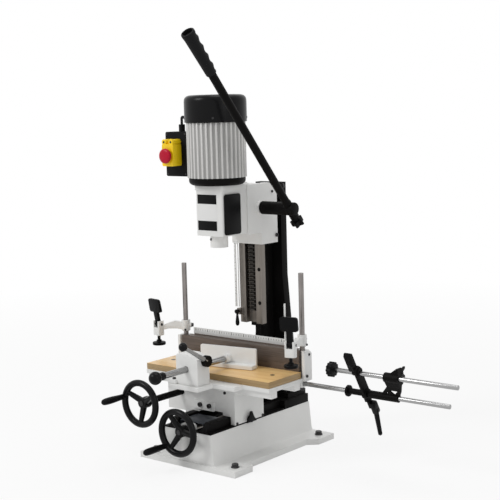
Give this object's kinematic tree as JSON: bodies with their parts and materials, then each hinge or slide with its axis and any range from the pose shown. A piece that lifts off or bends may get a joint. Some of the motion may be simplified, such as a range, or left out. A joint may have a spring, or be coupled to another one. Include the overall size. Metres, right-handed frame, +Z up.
{
  "type": "mortising machine",
  "caption": "Bench mortising machine: hollow base, column with rack, geared cross-slide table with fence, vise, hold-downs and side stop, motor head and long lever.",
  "frame": {"origin": "underside of the base, midway between the foot bolts, on the cross rib", "axes": "+X to the operator's right, +Y to the back, +Z up the column"},
  "size_m": [1.1357, 0.6453, 1.2787],
  "materials": {
    "white_paint": "smooth enamel over sand casting",
    "black_paint": "semi-gloss enamel",
    "black_gloss": "glossy moulded",
    "black_plastic": "moulded, satin",
    "rubber": "soft moulded",
    "ground_steel": "ground and oiled",
    "fence_steel": "milled, browned",
    "bright_steel": "polished bar",
    "dark_steel": "blackened",
    "motor_alloy": "painted fins",
    "oiled_wood": "sealed board",
    "scale_face": "printed strip",
    "yellow_plastic": "moulded",
    "red_plastic": "moulded"
  },
  "bodies": {
    "base": {"base_casting": "white_paint", "foot_bolt_front_left": "dark_steel", "foot_bolt_front_right": "dark_steel", "foot_bolt_rear_left": "dark_steel", "foot_bolt_rear_right": "dark_steel", "base_way": "black_paint", "leadscrew_guard": "ground_steel", "column": "black_paint", "column_way": "ground_steel", "column_rack": "ground_steel"},
    "depth_lock": {"depth_lock_handle": "black_plastic"},
    "saddle": {"saddle": "white_paint"},
    "saddle_lock": {"saddle_lock_lever": "black_plastic"},
    "leadscrew": {"leadscrew": "ground_steel", "handwheel_y": "black_gloss"},
    "grip_y": {"handwheel_y_grip": "black_plastic"},
    "feed_shaft": {"feed_shaft": "black_paint", "handwheel_x": "black_gloss"},
    "grip_x": {"handwheel_x_grip": "black_plastic"},
    "table": {"table_casting": "white_paint", "table_rack": "ground_steel", "wood_top": "oiled_wood", "fence": "fence_steel", "end_bracket_left": "white_paint", "end_bracket_right": "white_paint", "post_left": "bright_steel", "post_right": "bright_steel", "vise_bracket": "white_paint", "stop_rail": "bright_steel"},
    "hold_down_left": {"hold_down_arm_left": "white_paint"},
    "hold_down_right": {"hold_down_arm_right": "white_paint"},
    "cam_left": {"cam_lever_left": "black_plastic"},
    "cam_right": {"cam_lever_right": "black_plastic"},
    "foot_left": {"hold_down_foot_left": "black_paint"},
    "foot_right": {"hold_down_foot_right": "black_paint"},
    "vise_rod": {"vise_rod": "bright_steel"},
    "vise_jaw": {"vise_jaw": "white_paint"},
    "vise_lock": {"vise_lock_lever": "black_plastic"},
    "stop_collar": {"stop_collar": "black_paint"},
    "stop_frame": {"stop_slide": "black_paint", "stop_arm": "black_paint"},
    "stop_rod": {"stop_rod": "bright_steel"},
    "stop_handle": {"stop_handle": "black_plastic"},
    "stop_wing": {"stop_wing_knob": "black_plastic"},
    "head": {"head_casting": "white_paint", "chuck_cover": "black_plastic", "depth_scale": "scale_face", "motor_flange": "black_paint", "motor_body": "motor_alloy", "fan_cover": "black_gloss", "switch_box": "black_plastic", "switch_housing": "yellow_plastic", "motor_lead": "rubber"},
    "pinion": {"pinion_shaft": "ground_steel"},
    "feed_lever": {"feed_lever": "black_paint", "lever_grip": "rubber"},
    "lever_knob": {"lever_knob": "black_plastic"},
    "spindle": {"motor_spindle": "ground_steel", "chuck": "dark_steel"},
    "stop_button": {"stop_button": "red_plastic"}
  },
  "joints": [
    {"name": "leadscrew_turn", "type": "hinge", "parent": "base", "child": "leadscrew", "pos_m": [0, -0.2, 0.113], "axis": [0, 1, 0], "range_deg": [-2700, 540]},
    {"name": "saddle_slide", "type": "slide", "parent": "base", "child": "saddle", "axis": [0, 1, 0], "range_m": [-0.075, 0.015]},
    {"name": "grip_y_spin", "type": "hinge", "parent": "leadscrew", "child": "grip_y", "pos_m": [-0.04476, -0.33, 0.06824], "axis": [0, 1, 0], "continuous": true},
    {"name": "table_slide", "type": "slide", "parent": "saddle", "child": "table", "axis": [1, 0, 0], "range_m": [-0.15, 0.115]},
    {"name": "feed_shaft_turn", "type": "hinge", "parent": "saddle", "child": "feed_shaft", "pos_m": [-0.128, -0.2, 0.1882], "axis": [0, 1, 0], "range_deg": [-320, 250]},
    {"name": "grip_x_spin", "type": "hinge", "parent": "feed_shaft", "child": "grip_x", "pos_m": [-0.18942, -0.35, 0.20351], "axis": [0, 1, 0], "continuous": true},
    {"name": "saddle_lock_turn", "type": "hinge", "parent": "saddle", "child": "saddle_lock", "pos_m": [0.1, -0.062, 0.121], "axis": [1, 0, 0], "range_deg": [-60, 60]},
    {"name": "depth_lock_turn", "type": "hinge", "parent": "base", "child": "depth_lock", "pos_m": [-0.044, 0.06, 0.421], "axis": [0, 1, 0], "range_deg": [-60, 60]},
    {"name": "hold_down_left_slide", "type": "slide", "parent": "table", "child": "hold_down_left", "axis": [0, 0, 1], "range_m": [-0.01, 0.17]},
    {"name": "cam_left_turn", "type": "hinge", "parent": "hold_down_left", "child": "cam_left", "pos_m": [-0.31291, -0.01868, 0.367], "axis": [0.9848, -0.1736, 0], "range_deg": [0, 80]},
    {"name": "foot_left_press", "type": "slide", "parent": "hold_down_left", "child": "foot_left", "axis": [0, 0, 1], "range_m": [-0.012, 0]},
    {"name": "hold_down_right_slide", "type": "slide", "parent": "table", "child": "hold_down_right", "axis": [0, 0, 1], "range_m": [-0.01, 0.17]},
    {"name": "cam_right_turn", "type": "hinge", "parent": "hold_down_right", "child": "cam_right", "pos_m": [0.25849, -0.05902, 0.367], "axis": [0.9673, 0.2538, 0], "range_deg": [0, 80]},
    {"name": "foot_right_press", "type": "slide", "parent": "hold_down_right", "child": "foot_right", "axis": [0, 0, 1], "range_m": [-0.012, 0]},
    {"name": "vise_rod_slide", "type": "slide", "parent": "table", "child": "vise_rod", "axis": [0, 1, 0], "range_m": [-0.07, 0.02]},
    {"name": "vise_jaw_swivel", "type": "hinge", "parent": "vise_rod", "child": "vise_jaw", "pos_m": [0.008, -0.0685, 0.298], "axis": [0, 0, 1], "range_deg": [-8, 4]},
    {"name": "vise_lock_turn", "type": "hinge", "parent": "table", "child": "vise_lock", "pos_m": [0.06, -0.21, 0.324], "axis": [1, 0, 0], "range_deg": [-60, 30]},
    {"name": "stop_collar_slide", "type": "slide", "parent": "table", "child": "stop_collar", "axis": [1, 0, 0], "range_m": [-0.05, 0.15]},
    {"name": "stop_swing", "type": "hinge", "parent": "stop_collar", "child": "stop_frame", "pos_m": [0.45, 0.02, 0.234], "axis": [1, 0, 0], "range_deg": [-30, 90]},
    {"name": "stop_rod_slide", "type": "slide", "parent": "stop_frame", "child": "stop_rod", "axis": [1, 0, 0], "range_m": [-0.03, 0.055]},
    {"name": "stop_handle_turn", "type": "hinge", "parent": "stop_frame", "child": "stop_handle", "pos_m": [0.48, 0.04129, 0.1978], "axis": [1, 0, 0], "range_deg": [-35, 35]},
    {"name": "stop_wing_turn", "type": "hinge", "parent": "stop_frame", "child": "stop_wing", "pos_m": [0.6, 0, 0.315], "axis": [0, 1, 0], "range_deg": [-180, 180]},
    {"name": "head_slide", "type": "slide", "parent": "base", "child": "head", "axis": [0, 0, 1], "range_m": [-0.165, 0.01]},
    {"name": "pinion_turn", "type": "hinge", "parent": "head", "child": "pinion", "pos_m": [0, 0.057, 0.755], "axis": [1, 0, 0], "range_deg": [-25, 345]},
    {"name": "feed_lever_turn", "type": "hinge", "parent": "head", "child": "feed_lever", "pos_m": [0.12, 0.057, 0.755], "axis": [1, 0, 0], "range_deg": [-15, 80]},
    {"name": "lever_knob_turn", "type": "hinge", "parent": "feed_lever", "child": "lever_knob", "pos_m": [0.179, 0.057, 0.755], "axis": [0, -0.6468, 0.7627], "range_deg": [-180, 180]},
    {"name": "spindle_turn", "type": "hinge", "parent": "head", "child": "spindle", "pos_m": [0, -0.0655, 0.9], "axis": [0, 0, 1], "continuous": true},
    {"name": "stop_button_press", "type": "slide", "parent": "head", "child": "stop_button", "axis": [0, 1, 0], "range_m": [0, 0.006], "stiffness_N_per_m": 1200, "springref_m": -0.004}
  ],
  "couplings": [
    {"joint": "leadscrew_turn", "follows": "saddle_slide", "rad_per_m": 628.32},
    {"joint": "feed_shaft_turn", "follows": "table_slide", "rad_per_m": 36.364},
    {"joint": "pinion_turn", "follows": "head_slide", "rad_per_m": -35.714},
    {"joint": "foot_left_press", "follows": "cam_left_turn", "m_per_rad": -0.0078},
    {"joint": "foot_right_press", "follows": "cam_right_turn", "m_per_rad": -0.0078}
  ]
}
